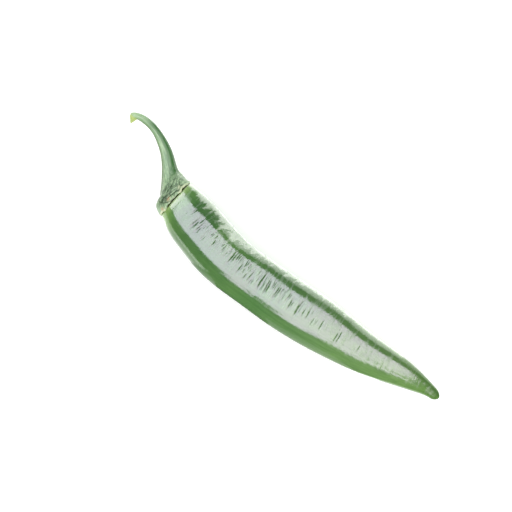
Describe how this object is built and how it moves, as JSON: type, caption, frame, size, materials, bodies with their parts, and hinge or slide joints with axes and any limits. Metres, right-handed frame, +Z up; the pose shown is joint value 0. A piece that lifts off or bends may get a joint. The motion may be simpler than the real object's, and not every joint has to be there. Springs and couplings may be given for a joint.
{
  "type": "chilli pepper",
  "caption": "Long green chilli pepper as picked, lying on its side: a slim, gently bent pod with a cup-shaped calyx and a hooked, ribbed stem.",
  "frame": {"origin": "middle of the whole chilli's plan, on the surface that it lies on", "axes": "+X from the stem towards the tip, +Y across the pod to the left of that, +Z up from the surface"},
  "size_m": [0.147, 0.0276, 0.0185],
  "materials": {
    "pod_skin": "smooth waxy green skin",
    "stem_skin": "dull pale green stem, grey-green at the calyx"
  },
  "bodies": {
    "root": {"pod": "pod_skin", "stem_with_calyx": "stem_skin"}
  },
  "joints": []
}
